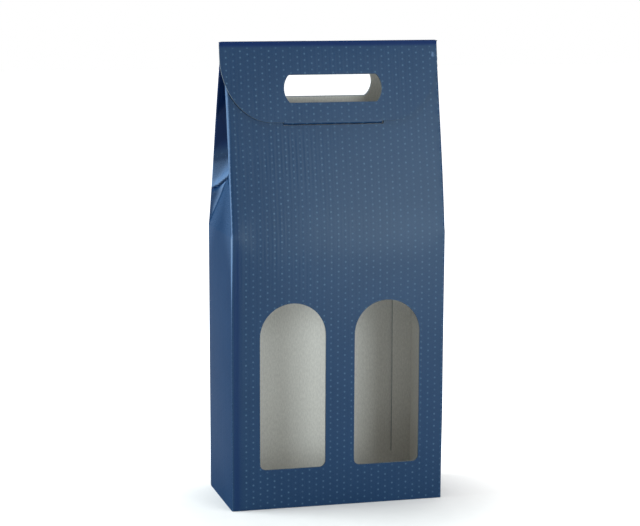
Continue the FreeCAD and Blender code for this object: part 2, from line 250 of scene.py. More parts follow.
class PrintFinish(bpy.types.PropertyGroup):
    """Look of the printed side, the plain side and the cut edge"""

    ground: colour("Ground", "Printed ground", (0.0058, 0.027, 0.075))
    ground_pale: colour("Pale ground", "Ground where the ink lies thinner", (0.0088, 0.034, 0.088))
    dot: colour("Dot", "Printed dots", (0.045, 0.095, 0.165))
    # The paler ink serves rubbed folds and scuffs, and also painted highlights.
    worn: colour("Worn", "Ink rubbed thin at worn folds", (0.11, 0.19, 0.335))
    # Painted shade: the darker ink laid where the sheet's worn value is below zero.
    thick: colour("Thick ink", "Ink where it lies thick beside folds", (0.0035, 0.0175, 0.08))
    bare: colour("Bare board", "Board where the ink is rubbed off", (0.42, 0.44, 0.47))
    liner: colour("Liner", "Plain inner side", (0.66, 0.65, 0.61))
    cut: colour("Cut edge", "Cut edge of the board", (0.19, 0.235, 0.27))
    column_pitch: length("Column pitch", "Distance between columns of dots", 0.00595)
    row_pitch: length("Row pitch", "Distance between dots in a column", 0.00518)
    column_start: length("Column start", "How far the columns are moved towards the raw edge", 0.0006)
    row_start: length("Row start", "How far the rows are moved downwards", 0.0021)
    dot_size: length("Dot size", "Diameter of a dot", 0.0015)
    dot_gloss: amount("Dot gloss", "Share of the gloss that a dot keeps", 0.75)
    dot_least: amount("Faintest dot", "Strength of the faintest dot", 0.45)
    gusset_dots: amount("Gusset dots", "How clear the dots are on the gussets", 0.45)
    side_dots: amount("Side dots", "How clear the dots are on the side walls", 0.12)
    flute_pitch: length("Flute pitch", "Distance between the board's flutes", 0.0032)
    rib_least: amount("Least rib", "Height of the faintest ribs, in millimetres", 0.003)
    rib_most: amount("Most rib", "Height of the clearest ribs, in millimetres", 0.015)
    streak_height: amount("Streak height", "Height of the uneven streaks, in millimetres", 0.11)
    fibre_height: amount("Fibre height", "Height of the paper's fibres, in millimetres", 0.012)
    roughness: amount("Roughness", "Roughness of the print", 0.3)
    gloss: amount("Gloss", "Specular level of the print seen straight on", 0.16)
    # Gloss kept where shade is painted.
    painted_shade_gloss: amount("Thick ink gloss", "Share of the gloss that thick ink keeps", 0.4)
    edge_gloss: amount("Edge gloss", "Specular level of the print seen along the surface", 0.0014)
    gloss_tint: colour("Gloss tint", "Tint of the print's gloss", (0.85, 0.98, 1.0))


class StageSettings(bpy.types.PropertyGroup):
    """Camera, floor and lights"""

    camera_place: position("Camera place", "Where the camera stands", (-0.424, -1.622, 0.445))
    camera_yaw: angle("Camera yaw", "Turn to the right", 14.53)
    camera_pitch: angle("Camera pitch", "Tilt down", 8.39)
    lens: amount("Lens", "Focal length in millimetres on a 36 mm sensor", 113.1)
    sky: amount("Sky", "Strength of the even light from all round", 0.35)
    key_place: position("Key place", "Where the large softbox at the left stands", (-1.9, 0.5, 1.15))
    key_size: length("Key size", "Width of that softbox", 1.3)
    key_power: amount("Key power", "Power of that softbox, in watts", 62.0)
    key_tint: colour("Key tint", "Tint of that softbox", (0.86, 0.97, 1.0))
    gloss_place: position("Gloss place", "Where the softbox at the front right stands", (0.47, -1.17, 0.33))
    gloss_aim: position("Gloss aim", "Where that softbox is aimed", (0.05, -0.045, 0.3))
    gloss_size: length("Gloss size", "Width of that softbox", 0.6)
    gloss_height: length("Gloss height", "Height of that softbox", 0.62)
    gloss_power: amount("Gloss power", "Power of that softbox, in watts", 9.8)
    gloss_tint: colour("Gloss tint", "Tint of that softbox", (0.9, 0.98, 1.0))
    top_place: position("Top place", "Where the wide softbox overhead hangs", (0.0, -0.3, 2.4))
    top_size: length("Top size", "Width of that softbox", 2.0)
    top_power: amount("Top power", "Power of that softbox, in watts", 30.0)
    floor_size: length("Floor size", "Width of the floor", 14.0)
    # The floor glows least round the shade place in front of the carton: painted shade added to its real
    # shadow.
    near_glow: amount("Near glow", "White that the floor shows beside the carton", 0.08)
    far_glow: amount("Far glow", "White that the floor shows far from the carton", 0.9)
    shade_place: position("Shade place", "Where the floor glows least", (-0.03, -0.08, 0.0))
    shade_near: length("Shade near", "Distance from there where the glow begins to grow", 0.06)
    shade_far: length("Shade far", "Distance from there where the glow is full", 0.32)


# Drawing on the blank


def arc(centre, radius, start, end, steps):
    """Points on an arc, angles in degrees, both ends included."""
    angles = np.radians(np.linspace(start, end, steps + 1))
    return [(centre[0] + radius * math.cos(a), centre[1] + radius * math.sin(a)) for a in angles]


def window_outline(centre_u, opening):
    """An arched window with rounded lower corners, counterclockwise."""
    half = opening.window_width / 2
    left = centre_u - half
    right = centre_u + half
    low = opening.window_sill + opening.window_corner
    spring = opening.window_sill + opening.window_height - half
    corner = opening.window_corner
    points = arc((left + corner, low), corner, 180, 270, 6)
    points += arc((right - corner, low), corner, 270, 360, 6)
    points += arc((centre_u, spring), half, 0, 180, 36)
    return points


def hand_hole_outline(centre, opening):
    """Straight long edges, bowed ends and small corners between them."""
    u, v = centre
    half = opening.hole_height / 2
    radius = opening.hole_end_radius
    corner = opening.hole_corner
    bow_centre = opening.hole_width / 2 - radius
    corner_u = bow_centre + math.sqrt((radius - corner) ** 2 - (half - corner) ** 2)
    turn = math.degrees(math.atan2(half - corner, corner_u - bow_centre))
    right = arc((corner_u, -half + corner), corner, -90, -turn, 4)
    right += arc((bow_centre, 0), radius, -turn, turn, 18)[1:]
    right += arc((corner_u, half - corner), corner, turn, 90, 4)[1:]
    left = [(-x, -y) for x, y in right]
    return [(u + x, v + y) for x, y in right + left]


def resampled(outline, step):
    """The closed outline with its long edges divided."""
    points = []
    for here, there in zip(outline, outline[1:] + outline[:1]):
        span = math.dist(here, there)
        parts = max(1, math.ceil(span / step - 0.01))
        for part in range(parts):
            share = part / parts
            points.append(tuple(a + (b - a) * share for a, b in zip(here, there)))
    return points


def inside(points, outline):
    """Which points lie inside a closed outline."""
    x, y = points[:, 0], points[:, 1]
    found = np.zeros(len(points), bool)
    for (ax, ay), (bx, by) in zip(outline, outline[1:] + outline[:1]):
        if ay == by:
            continue
        crosses = (ay > y) != (by > y)
        found ^= crosses & (x < (bx - ax) * (y - ay) / (by - ay) + ax)
    return found


def edge_distance(points, outline):
    """Distance of each point to the nearest edge of a closed outline."""
    nearest = np.full(len(points), np.inf)
    for here, there in zip(outline, outline[1:] + outline[:1]):
        a = np.array(here)
        run = np.array(there) - a
        share = np.clip(((points - a) @ run) / max(run @ run, 1e-18), 0, 1)
        gap = points - a - share[:, None] * run
        nearest = np.minimum(nearest, (gap**2).sum(1))
    return np.sqrt(nearest)


def lines_between(low, high, step, creases=(), spread=0.002, fine=0.0007):
    """Places of mesh rows: even ones, and close ones beside each crease."""
    rows = list(np.arange(low, high + step / 2, step))
    for crease in creases:
        rows = [r for r in rows if abs(r - crease) > spread]
        rows += list(np.arange(crease - spread, crease + spread + fine / 2, fine))
    rows = sorted(r for r in rows if low <= r <= high)
    kept = rows[:1]
    for row in rows[1:]:
        if row - kept[-1] > fine * 0.6:
            kept.append(row)
    return kept


def triangulated(outline, holes, grids, step):
    """Flat points and triangles of a blank. grids holds the areas' (rows in u, rows in v)."""
    edge_room, nearest = 0.12, 1e-6
    loops = [resampled(outline, step)] + [resampled(hole, step) for hole in holes]
    points = []
    edges = []
    for loop in loops:
        first = len(points)
        points += loop
        edges += [(first + i, first + (i + 1) % len(loop)) for i in range(len(loop))]
    for rows_u, rows_v in grids:
        grid = np.array([(u, v) for v in rows_v for u in rows_u])
        keep = inside(grid, loops[0])
        for hole in loops[1:]:
            keep &= ~inside(grid, hole)
        grid = grid[keep]
        room = np.min([edge_distance(grid, loop) for loop in loops], axis=0)
        points += [tuple(p) for p in grid[room > step * edge_room]]
    made = geometry.delaunay_2d_cdt([Vector(p) for p in points], edges, [], 1, nearest)
    flat = np.array([tuple(p) for p in made[0]])
    triangles = np.array([tuple(f) for f in made[2]])
    middles = flat[triangles].mean(1)
    keep = inside(middles, loops[0])
    for hole in loops[1:]:
        keep &= ~inside(middles, hole)
    return flat, triangles[keep]


# Folding


class Folding:
    """Corners of the creases on the flat blank and in their folded places."""

    def __init__(self):
        self.flat = []
        self.folded = []
        self.facets = []

    def corner(self, flat, folded):
        self.flat.append(flat)
        self.folded.append(folded)
        return len(self.flat) - 1

    def facet(self, *corners):
        """A flat piece of board between creases, its corners counterclockwise."""
        for second, third in zip(corners[1:], corners[2:]):
            self.facets.append((corners[0], second, third))

    def place(self, points):
        """Folded places of flat points, with sharp creases."""
        flat = np.array(self.flat)[np.array(self.facets)]
        folded = np.array([tuple(p) for p in self.folded])[np.array(self.facets)]
        base = flat[:, 2]
        sides = np.stack([flat[:, 0] - base, flat[:, 1] - base], axis=2)
        shares = np.einsum("tij,mtj->mti", np.linalg.inv(sides), points[:, None] - base[None])
        third = 1 - shares.sum(2, keepdims=True)
        shares = np.concatenate([shares, third], axis=2)
        best = shares.min(2).argmax(1)
        chosen = shares[np.arange(len(points)), best]
        return np.einsum("mi,mij->mj", chosen, folded[best])


def disc():
    """Evenly spread offsets within a circle of radius one, on rings of (radius, count)."""
    offsets = [(0.0, 0.0)]
    for radius, count in ((0.36, 6), (0.7, 12), (1.0, 18)):
        turns = 2 * math.pi * (np.arange(count) + 0.5) / count
        offsets += list(zip(radius * np.cos(turns), radius * np.sin(turns)))
    return np.array(offsets)


def softly_folded(folding, points, radius_u, radius_v):
    """Folded places with each crease spread over a small radius, averaged over a disc."""
    total = np.zeros((len(points), 3))
    offsets = disc()
    for du, dv in offsets:
        total += folding.place(points + np.stack([du * radius_u, dv * radius_v], axis=1))
    return total / len(offsets)


def smooth_step(value):
    """Zero to one with soft ends."""
    value = np.clip(value, 0, 1)
    return value * value * (3 - 2 * value)


def rise(value, low, high):
    """A smooth step from zero at low to one at high, which may be the lower one."""
    return smooth_step((value - low) / (high - low))


def bell(distance, width):
    """One at no distance, fading away over a width."""
    return np.exp(-((distance / width) ** 2))


def segment_distance(points, start, end):
    """Distance of each point to a straight line between two places."""
    start = np.array(start)
    run = np.array(end) - start
    share = np.clip(((points - start) @ run) / (run @ run), 0, 1)
    return np.linalg.norm(points - start - share[:, None] * run, axis=1)


def surface_normals(places, triangles):
    """Outward direction at each point of the printed side."""
    a, b, c = (places[triangles[:, i]] for i in range(3))
    faces = np.cross(b - a, c - a)
    normals = np.zeros_like(places)
    for i in range(3):
        np.add.at(normals, triangles[:, i], faces)
    lengths = np.linalg.norm(normals, axis=1, keepdims=True)
    return normals / np.maximum(lengths, 1e-12)


def swayed(places, sizes, gable):
    """Leans the back panel to the left, and pushes the front and the right side to the right."""
    height = places[:, 2]
    least_room = 0.004
    front = gable.front_y(np.maximum(height, gable.shoulder))
    back = gable.back_y(np.maximum(height, gable.shoulder))
    share = smooth_step((places[:, 1] - front) / np.maximum(back - front, least_room))
    lean = sizes.sway * rise(height, gable.shoulder, HINGE.z)
    push = sizes.bulge * bell(height - sizes.bulge_height, sizes.bulge_reach)
    kept = 1 - sizes.spread_loss * rise(height, sizes.spread_end, sizes.spread_end + sizes.spread_fade)
    rising = (1 - sizes.spread_base) * rise(height, 0, sizes.spread_rise)
    spread = sizes.spread * (sizes.spread_base + rising * kept)
    moved = places.copy()
    moved[:, 0] += push * (1 - share) - lean * share
    moved[:, 0] += spread * rise(places[:, 0], gable.half_width / 2, gable.half_width)
    return moved


def belly_depth(x, z, sizes):
    """How far the front is bowed out at a place between its folds, its base and the ridge."""
    across = np.clip(1 - (2 * x / sizes.width) ** 2, 0, 1)
    return sizes.belly * across * np.sin(math.pi * np.clip(z / HINGE.z, 0, 1))


def bowed(places, flat, sizes, gable, blank):
    """Bows the front, back and side walls a little outwards between their folds."""
    u, v = flat.T
    to_ridge = np.sin(math.pi * np.clip(places[:, 2] / HINGE.z, 0, 1))
    to_shoulder = np.sin(math.pi * np.clip(v / gable.shoulder, 0, 1))
    moved = places.copy()
    for start, end, axis, height, strength in (
        (blank.front, blank.right, 1, to_ridge, -1.0),
        (blank.back, blank.left, 1, to_shoulder, sizes.back_belly),
        (blank.left, blank.front, 0, to_shoulder, -sizes.side_belly),
        (blank.right, blank.tab, 0, to_shoulder, sizes.side_belly),
    ):
        across = np.clip(1 - ((2 * u - start - end) / (end - start)) ** 2, 0, 1)
        moved[:, axis] += strength * sizes.belly * height * np.where(v > 0, across, 0)
    return moved


def wrinkled(places, flat, triangles, crease, wear):
    """Presses the wrinkle of the left gusset's back ply in, and lifts the board beside it."""
    start, elbow, end = wrinkle_line(crease, wear)
    near = np.minimum(segment_distance(flat, start, elbow), segment_distance(flat, elbow, end))
    groove = bell(near, wear.groove_width)
    lifted = wear.lift_share * bell(near - wear.lift_distance, wear.lift_width)
    fade_in, fade_out = 0.005, 0.02
    fade = rise(flat[:, 0], start[0], start[0] + fade_in) * rise(flat[:, 0], end[0] + fade_out, end[0])
    depth = wear.wrinkle_depth * (lifted - groove) * fade
    return places + surface_normals(places, triangles) * depth[:, None]


def board_object(name, flat, triangles, outer, board, worn=0.0, dotted=1.0):
    """A sheet with its thickness: printed side, plain side and cut edge.

    board, worn and dotted may be one number or one for each point: the thickness; how rubbed the
    print is, above zero for rubbed ink and painted highlight, below zero for painted shade; and how clear
    its dots are.
    """
    count = len(outer)
    inner = outer - surface_normals(outer, triangles) * np.broadcast_to(board, count)[:, None]
    directed = np.concatenate([triangles[:, [0, 1]], triangles[:, [1, 2]], triangles[:, [2, 0]]])
    sides = np.sort(directed, axis=1)
    _, first, uses = np.unique(sides, axis=0, return_index=True, return_counts=True)
    rim = directed[first[uses == 1]]
    faces = [tuple(t) for t in triangles.tolist()]
    faces += [(c + count, b + count, a + count) for a, b, c in triangles.tolist()]
    faces += [(b, a, a + count, b + count) for a, b in rim.tolist()]
    mesh = bpy.data.meshes.new(name)
    mesh.from_pydata(np.concatenate([outer, inner]).tolist(), [], faces)
    kinds = [0] * len(triangles) + [1] * len(triangles) + [2] * len(rim)
    mesh.polygons.foreach_set("material_index", kinds)
    mesh.polygons.foreach_set("use_smooth", [True] * len(faces))
    blank = mesh.attributes.new("blank", "FLOAT_VECTOR", "POINT")
    places = np.zeros((2 * count, 3), np.float32)
    places[:, :2] = np.concatenate([flat, flat])
    places[count:, 2] = 1
    blank.data.foreach_set("vector", places.ravel())
    # The worn attribute carries rubbed ink, painted highlight (above zero) and painted shade (below zero).
    for kind, values in (("worn", worn), ("dotted", dotted)):
        attribute = mesh.attributes.new(kind, "FLOAT", "POINT")
        outside = np.broadcast_to(values, count)
        attribute.data.foreach_set("value", np.concatenate([outside, outside]).astype(np.float32))
    mesh.update()
    mesh.set_sharp_from_angle(angle=SHARP_ANGLE)
    piece = bpy.data.objects.new(name, mesh)
    bpy.context.scene.collection.objects.link(piece)
    for material in board_materials():
        mesh.materials.append(material)
    return piece


# Materials


class Recipe:
    """Adds and links the nodes of one material."""

    def __init__(self, name):
        self.material = bpy.data.materials.new(name)
        self.material.use_nodes = True
        self.tree = self.material.node_tree
        self.tree.nodes.clear()

    def node(self, kind, inputs=None, **settings):
        made = self.tree.nodes.new(kind)
        for key, value in settings.items():
            setattr(made, key, value)
        for key, value in (inputs or {}).items():
            if isinstance(value, bpy.types.NodeSocket):
                self.tree.links.new(value, made.inputs[key])
            else:
                made.inputs[key].default_value = value
        return made

    def maths(self, operation, *values):
        return self.node("ShaderNodeMath", dict(enumerate(values)), operation=operation).outputs[0]

    def times(self, first, second):
        return self.maths("MULTIPLY", first, second)

    def plus(self, first, second):
        return self.maths("ADD", first, second)

    def ramp(self, value, low, high, to_low=0.0, to_high=1.0):
        """A smooth step of value from low to high."""
        inputs = {"Value": value, "From Min": low, "From Max": high, "To Min": to_low, "To Max": to_high}
        return self.node("ShaderNodeMapRange", inputs, interpolation_type="SMOOTHSTEP").outputs["Result"]

    def mix(self, factor, first, second):
        made = self.node("ShaderNodeMix", data_type="RGBA")
        for socket, value in ((0, factor), (6, first), (7, second)):
            if isinstance(value, bpy.types.NodeSocket):
                self.tree.links.new(value, made.inputs[socket])
            else:
                made.inputs[socket].default_value = value
        return made.outputs[2]

    def noise(self, vector, scale, detail=2.0, roughness=0.5):
        inputs = {"Vector": vector, "Scale": scale, "Detail": detail, "Roughness": roughness}
        return self.node("ShaderNodeTexNoise", inputs).outputs["Fac"]

    def stretched(self, vector, scale):
        return self.node("ShaderNodeVectorMath", {0: vector, 1: scale}, operation="MULTIPLY").outputs[0]

    def board_surface(self, shade, roughness, gloss, height, depth):
        """The board's shader, its fine relief given as a height."""
        bump = self.node("ShaderNodeBump", {"Height": height, "Distance": depth, "Strength": 1.0})
        inputs = {"Base Color": shade, "Roughness": roughness, "Specular IOR Level": gloss}
        return self.node("ShaderNodeBsdfPrincipled", {**inputs, "Normal": bump.outputs[0]})

    def finish(self, surface):
        self.node("ShaderNodeOutputMaterial", {"Surface": surface})
        return self.material


def opaque(value, factor=1.0):
    """A colour with its alpha, made paler or darker by a factor."""
    return (*(min(1.0, part * factor) for part in value), 1.0)


def blank_places(recipe):
    """Place on the flat blank: the vector, its u, its v and the share of the board's thickness."""
    vector = recipe.node("ShaderNodeAttribute", attribute_name="blank").outputs["Vector"]
    u, v, ply = recipe.node("ShaderNodeSeparateXYZ", {"Vector": vector}).outputs
    flat = recipe.node("ShaderNodeCombineXYZ", {"X": u, "Y": v}).outputs[0]
    return flat, u, v, ply


def from_middle(recipe, cells, pitch):
    """Distance from the middle of a cell in a row of cells."""
    return recipe.times(recipe.maths("SUBTRACT", recipe.maths("FRACT", cells), 0.5), pitch)


def dot_mask(recipe, u, v, finish):
    """One at a printed dot, zero between them. Alternate columns are half a row higher."""
    columns = recipe.maths("DIVIDE", recipe.plus(u, finish.column_start), finish.column_pitch)
    column = recipe.maths("FLOOR", columns)
    shift = recipe.times(recipe.maths("FLOORED_MODULO", column, 2.0), 0.5)
    lowered = recipe.maths("DIVIDE", recipe.plus(v, finish.row_start), finish.row_pitch)
    rows = recipe.plus(lowered, shift)
    row = recipe.maths("FLOOR", rows)
    off_u = from_middle(recipe, columns, finish.column_pitch)
    off_v = from_middle(recipe, rows, finish.row_pitch)
    square = recipe.plus(recipe.times(off_u, off_u), recipe.times(off_v, off_v))
    radius = finish.dot_size / 2
    shape = recipe.ramp(recipe.maths("SQRT", square), radius * 1.25, radius * 0.75)
    cell = recipe.node("ShaderNodeCombineXYZ", {"X": column, "Y": row}).outputs[0]
    chance = recipe.node("ShaderNodeTexWhiteNoise", {"Vector": cell}, noise_dimensions="2D")
    limits = {"Value": chance.outputs["Value"], "To Min": finish.dot_least, "To Max": 1.0}
    strength = recipe.node("ShaderNodeMapRange", limits).outputs["Result"]
    return recipe.times(shape, strength)


def flute_height(recipe, flat, u, finish):
    """Ribbing of the flutes under the liner, uneven along and across, in millimetres."""
    wave = recipe.maths("SINE", recipe.times(u, 2 * math.pi / finish.flute_pitch))
    streaks = recipe.noise(recipe.stretched(flat, (1.0, 0.06, 1.0)), 150.0, 3.0, 0.6)
    patches = recipe.noise(flat, 22.0, 2.0)
    ribs = recipe.times(wave, recipe.ramp(patches, 0.3, 0.7, finish.rib_least, finish.rib_most))
    return recipe.plus(ribs, recipe.times(streaks, finish.streak_height))


def printed_material(finish):
    """Blue ink with paler dots, rubbed pale or painted darker where the sheet says so: the pale ink is
    rubbed ink at worn folds and scuffs and also painted highlight, the darker ink is painted shade.
    """
    recipe = Recipe("printed_liner")
    flat, u, v, _ = blank_places(recipe)
    worn = recipe.node("ShaderNodeAttribute", attribute_name="worn").outputs["Fac"]
    clear = recipe.node("ShaderNodeAttribute", attribute_name="dotted").outputs["Fac"]
    patches = recipe.noise(flat, 14.0, 3.0, 0.6)
    fibres = recipe.noise(flat, 1400.0, 3.0, 0.65)
    grain = recipe.noise(flat, 900.0, 4.0, 0.7)
    tone = recipe.plus(recipe.times(patches, 0.6), recipe.times(fibres, 0.4))
    ground = recipe.mix(recipe.ramp(tone, 0.3, 0.7), opaque(finish.ground), opaque(finish.ground_pale))
    whole = recipe.ramp(recipe.maths("ABSOLUTE", worn), 0.42, 0.18)
    dots = recipe.times(dot_mask(recipe, u, v, finish), recipe.times(whole, clear))
    printed = recipe.mix(dots, ground, opaque(finish.dot))
    # Painted shade where the worn value is below zero.
    thick = recipe.ramp(worn, -0.1, -0.9)
    printed = recipe.mix(thick, printed, opaque(finish.thick))
    # Paler ink at rubbed folds and scuffs, and as painted highlight in the left gusset and along the front
    # left fold.
    rubbed = recipe.ramp(recipe.plus(worn, recipe.times(grain, 0.5)), 0.5, 1.05)
    printed = recipe.mix(rubbed, printed, opaque(finish.worn))
    printed = recipe.mix(recipe.ramp(worn, 1.05, 1.5), printed, opaque(finish.bare))
    ribs = flute_height(recipe, flat, u, finish)
    height = recipe.plus(ribs, recipe.times(fibres, finish.fibre_height))
    roughness = recipe.ramp(grain, 0.2, 0.8, finish.roughness - 0.05, finish.roughness + 0.06)
    along = recipe.node("ShaderNodeLayerWeight", {"Blend": 0.5}).outputs["Facing"]
    gloss = recipe.ramp(along, 0.1, 0.65, finish.gloss, finish.edge_gloss)
    gloss = recipe.times(gloss, recipe.ramp(dots, 0.0, 1.0, 1.0, finish.dot_gloss))
    # Less gloss where shade is painted.
    gloss = recipe.times(gloss, recipe.ramp(worn, -0.1, -0.9, 1.0, finish.painted_shade_gloss))
    shader = recipe.board_surface(printed, roughness, gloss, height, 0.001)
    shader.inputs["Specular Tint"].default_value = opaque(finish.gloss_tint)
    return recipe.finish(shader.outputs[0])


def liner_material(finish):
    """Plain grey-white paper of the inner side."""
    recipe = Recipe("plain_liner")
    flat, u, _, _ = blank_places(recipe)
    fibres = recipe.noise(recipe.stretched(flat, (1.0, 0.35, 1.0)), 900.0, 5.0, 0.7)
    tone = recipe.ramp(fibres, 0.3, 0.7)
    shade = recipe.mix(tone, opaque(finish.liner, 0.88), opaque(finish.liner, 1.08))
    height = recipe.plus(flute_height(recipe, flat, u, finish), recipe.times(fibres, 0.02))
    shader = recipe.board_surface(shade, 0.8, 0.3, height, 0.001)
    return recipe.finish(shader.outputs[0])


def cut_material(finish):
    """Two liners with the waved medium between them, as the cutting rule leaves it; the flutes' hollows
    between them are painted darker as shade.
    """
    recipe = Recipe("cut_edge")
    flat, u, _, ply = blank_places(recipe)
    swing = recipe.maths("SINE", recipe.times(u, 2 * math.pi / finish.flute_pitch))
    wave = recipe.plus(recipe.times(swing, 0.3), 0.5)
    medium = recipe.ramp(recipe.maths("ABSOLUTE", recipe.maths("SUBTRACT", ply, wave)), 0.22, 0.1)
    liners = recipe.ramp(recipe.maths("ABSOLUTE", recipe.maths("SUBTRACT", ply, 0.5)), 0.3, 0.38)
    solid = recipe.maths("MAXIMUM", medium, liners)
    fibres = recipe.noise(flat, 1800.0, 4.0, 0.7)
    pale = recipe.mix(fibres, opaque(finish.cut, 0.8), opaque(finish.cut, 1.2))
    # Painted shade: the hollows between the liners and the medium take the cut colour at less than half.
    shade = recipe.mix(recipe.times(solid, 0.75), opaque(finish.cut, 0.45), pale)
    shader = recipe.board_surface(shade, 0.9, 0.2, recipe.plus(solid, fibres), 0.0002)
    return recipe.finish(shader.outputs[0])


def board_materials():
    """The three finishes of the board, made once."""
    finish = bpy.context.scene.carton_print
    makers = (printed_material, liner_material, cut_material)
    names = ("printed_liner", "plain_liner", "cut_edge")
    return [bpy.data.materials.get(name) or maker(finish) for name, maker in zip(names, makers)]


# The carton's own places


def lean(run, height, offset):
    """Angle from the vertical of a face through the shoulder that passes offset from the ridge."""
    return math.atan2(run, height) + math.asin(offset / math.hypot(run, height))


class Gable:
    """Places of the walls and the leaning panels, from the sizes and the hinge."""

    def __init__(self, sizes, flap):
        self.half_width = sizes.width / 2
        self.half_depth = sizes.depth / 2
        self.shoulder = sizes.shoulder_height
        self.board = sizes.board
        height = HINGE.z - self.shoulder
        front_run = self.half_depth + HINGE.y
        back_run = self.half_depth - HINGE.y
        front_offset = sizes.board / 2 + flap.clearance
        back_offset = -sizes.board / 2
        self.front_lean = lean(front_run, height, front_offset)
        self.back_lean = lean(back_run, height, back_offset)
        self.front_top = HINGE.z - sizes.front_drop
        self.front_ridge = self.shoulder + math.sqrt(front_run**2 + height**2 - front_offset**2)
        self.back_ridge = self.shoulder + math.sqrt(back_run**2 + height**2 - back_offset**2)

    def front_y(self, z, inset=0.0):
        """Y of a plane parallel to the leaning front panel, inset from its printed face."""
        up = z - self.shoulder
        return -self.half_depth + up * math.tan(self.front_lean) + inset / math.cos(self.front_lean)

    def back_y(self, z, inset=0.0):
        """Y of a plane parallel to the leaning back panel, inset from its printed face."""
        up = z - self.shoulder
        return self.half_depth - up * math.tan(self.back_lean) - inset / math.cos(self.back_lean)

    def front_v(self, z):
        """Place on the blank of a height on the front upper panel."""
        return self.shoulder + (z - self.shoulder) / math.cos(self.front_lean)

    def back_v(self, z):
        """Place on the blank of a height on the back upper panel."""
        return self.shoulder + (z - self.shoulder) / math.cos(self.back_lean)


class Blank:
    """Places of the vertical folds on the flat blank, from the back wall's raw edge rightwards."""

    def __init__(self, sizes):
        self.back = 0.0
        self.left = sizes.width
        self.front = self.left + sizes.depth
        self.right = self.front + sizes.width
        self.tab = self.right + sizes.depth - sizes.board
        self.end = self.tab + sizes.glue_tab


def fold_walls(folding, gable, blank):
    """The four walls below the shoulder."""
    half_x, half_y, top = gable.half_width, gable.half_depth, gable.shoulder
    inner_y = half_y - gable.board
    corners = [
        (blank.back, half_x, half_y),
        (blank.left, -half_x, half_y),
        (blank.front, -half_x, -half_y),
        (blank.right, half_x, -half_y),
        (blank.tab, half_x, inner_y),
        (blank.end, half_x - (blank.end - blank.tab), inner_y),
    ]
    low = [folding.corner((u, 0.0), (x, y, 0.0)) for u, x, y in corners]
    high = [folding.corner((u, top), (x, y, top)) for u, x, y in corners]
    for i in range(len(corners) - 1):
        folding.facet(low[i], low[i + 1], high[i + 1], high[i])
    return high


def fold_bottom(folding, gable, blank):
    """The front and back bottom flaps, flat under the walls."""
    half_x, half_y = gable.half_width, gable.half_depth
    reach = 2 * half_y
    for u, side in ((blank.front, -1), (blank.back, 1)):
        corners = []
        for across, down in ((0, reach), (2 * half_x, reach), (2 * half_x, 0), (0, 0)):
            folded = (side * (half_x - across), side * (half_y - down), 0.0)
            corners.append(folding.corner((u + across, -down), folded))
        folding.facet(*corners)


def between(folding, first, second, share):
    """A new corner part of the way along the line between two corners."""
    flat = Vector(folding.flat[first]).lerp(Vector(folding.flat[second]), share)
    folded = Vector(folding.folded[first]).lerp(Vector(folding.folded[second]), share)
    return folding.corner(tuple(flat), tuple(folded))


def fold_gusset(folding, gable, sizes, side, blank, shoulders):
    """One folded-in side of the gable top. side is -1 on the left and 1 on the right."""
    plies = 2 * gable.board
    wall = side * gable.half_width
    top = gable.front_top
    front_v, back_v = gable.front_v(top), gable.back_v(top)
    if side < 0:
        back_u, front_u = blank.left, blank.front
        back_ply_u, front_ply_u = back_u + plies, front_u - plies
    else:
        front_u, back_u = blank.right, blank.tab
        front_ply_u, back_ply_u = front_u + plies, back_u
    middle_u = (back_u + front_u) / 2
    front, back = shoulders
    meeting_v = gable.shoulder + sizes.gusset_rise
    meeting_place = (side * (gable.half_width - sizes.gusset_dent), 0.0, meeting_v)
    meeting = folding.corner((middle_u, meeting_v), meeting_place)
    front_ply_y, back_ply_y = gable.front_y(top, plies), gable.back_y(top, plies)
    front_ply = folding.corner((front_ply_u, front_v), (wall, front_ply_y, top))
    back_ply = folding.corner((back_ply_u, back_v), (wall, back_ply_y, top))
    valley_place = (side * (gable.half_width - sizes.gusset_reach), (front_ply_y + back_ply_y) / 2, top)
    valley = folding.corner((middle_u, (front_v + back_v) / 2), valley_place)
    front_top = folding.corner((front_u, front_v), (wall, gable.front_y(top), top))
    facets = [(back, front, meeting), (front, front_top, front_ply)]
    if side < 0:
        back_top = folding.corner((back_u, back_v), (wall, gable.back_y(top), top))
        facets.append((back_top, back, back_ply))
    front_last = front
    back_last = between(folding, back, back_ply, sizes.wrinkle_share)
    inner_last = meeting
    facets.append((back, meeting, back_last))
    for edge_share, inner_share, deeper in GUSSET_STATIONS:
        if edge_share == 1.0:
            front_next, back_next, inner_next = front_ply, back_ply, valley
        else:
            front_next = between(folding, front, front_ply, edge_share)
            back_next = between(folding, back, back_ply, edge_share)
            inner_next = between(folding, meeting, valley, inner_share)
            x, y, z = folding.folded[inner_next]
            folding.folded[inner_next] = (x - side * deeper, y, z)
        facets.append((inner_last, front_last, front_next, inner_next))
        facets.append((back_last, inner_last, inner_next, back_next))
        front_last, back_last, inner_last = front_next, back_next, inner_next
    for facet in facets:
        folding.facet(*(facet if side < 0 else reversed(facet)))
    wrinkle_start = between(folding, back, back_ply, sizes.wrinkle_share)
    creases = {
        "front_ply": (front, front_ply),
        "back_ply": (back, back_ply),
        "back_diagonal": (back, meeting),
        "front_diagonal": (front, meeting),
        "valley": (meeting, valley),
        "wrinkle": (wrinkle_start, meeting),
    }
    return {name: (folding.flat[start], folding.flat[end]) for name, (start, end) in creases.items()}


